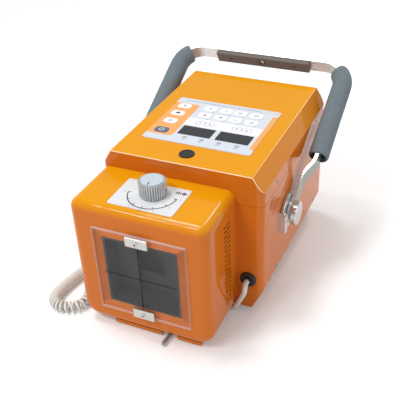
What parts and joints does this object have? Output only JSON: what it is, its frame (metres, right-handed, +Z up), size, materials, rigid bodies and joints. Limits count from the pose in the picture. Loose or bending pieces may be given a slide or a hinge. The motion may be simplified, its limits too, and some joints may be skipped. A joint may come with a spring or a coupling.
{
  "type": "portable x-ray generator with collimator",
  "caption": "Hand-carried x-ray generator: a bevelled case with a box collimator and clear beam window on its front, a top control panel, a swinging bail handle and a curly hand-switch cord.",
  "frame": {"origin": "on the floor, under the middle of the overall footprint without the cord", "axes": "+Y from the beam window to the rear, +X to the object's side with the cable gland, +Z up"},
  "size_m": [0.29, 0.3756, 0.2181],
  "materials": {
    "orange_paint": "glossy orange powder coat",
    "tank_grey": "plain grey paint",
    "dark_interior": "matt dark grey",
    "clear_window": "clear acrylic plate",
    "brushed_clip": "satin aluminium",
    "panel_film": "pale blue-grey printed film",
    "knob_grey": "satin grey",
    "knob_cap": "pale satin",
    "black_plastic": "satin black",
    "bright_steel": "bright turned steel",
    "display_glass": "dark glossy display",
    "white_key": "white key dome",
    "blue_key": "blue-grey key dome",
    "handle_steel": "satin bar",
    "grip_foam": "blue-grey foam",
    "pad_rubber": "dark grey rubber",
    "black_rubber": "black rubber",
    "grey_plate": "grey plate",
    "cord_cream": "cream cable jacket",
    "switch_shell": "cream shell"
  },
  "bodies": {
    "case": {"case_tub": "orange_paint", "case_lid": "orange_paint", "generator_block": "tank_grey", "collimator_housing": "orange_paint", "shutter_box": "dark_interior", "shutter_blades_upright": "dark_interior", "shutter_blades_level": "dark_interior", "beam_window": "clear_window", "window_clip_top": "brushed_clip", "window_clip_bottom": "brushed_clip", "dial_plate": "panel_film", "field_knob": "knob_grey", "field_knob_cap": "knob_cap", "collimator_foot_plate": "orange_paint", "shutter_lever_boss": "black_plastic", "shutter_lever": "bright_steel", "control_panel": "panel_film", "display_left": "display_glass", "display_right": "display_glass", "panel_keys": "white_key", "power_key": "blue_key", "badge_disc": "black_plastic", "pivot_boss_right": "bright_steel", "pivot_boss_left": "bright_steel", "handle_stop_right": "bright_steel", "handle_stop_left": "bright_steel", "pivot_bolt_right": "bright_steel", "pivot_bolt_left": "bright_steel", "rubber_feet": "black_rubber", "stand_bush": "bright_steel", "rear_panel": "grey_plate", "mains_inlet": "black_plastic", "rear_switch": "black_plastic", "side_screws": "bright_steel", "cable_gland": "black_rubber", "hand_switch_lead": "cord_cream", "cord_sleeve": "cord_cream", "curly_cord": "cord_cream", "hand_switch": "switch_shell", "hand_switch_button": "black_plastic"},
    "handle": {"handle_bar": "handle_steel", "handle_grip_right": "grip_foam", "handle_grip_left": "grip_foam", "handle_pad": "pad_rubber", "handle_pad_bolt": "bright_steel"}
  },
  "joints": [
    {"name": "handle_swing", "type": "hinge", "parent": "case", "child": "handle", "pos_m": [0, -0.017, 0.104], "axis": [1, 0, 0], "range_deg": [-27, 81]}
  ]
}
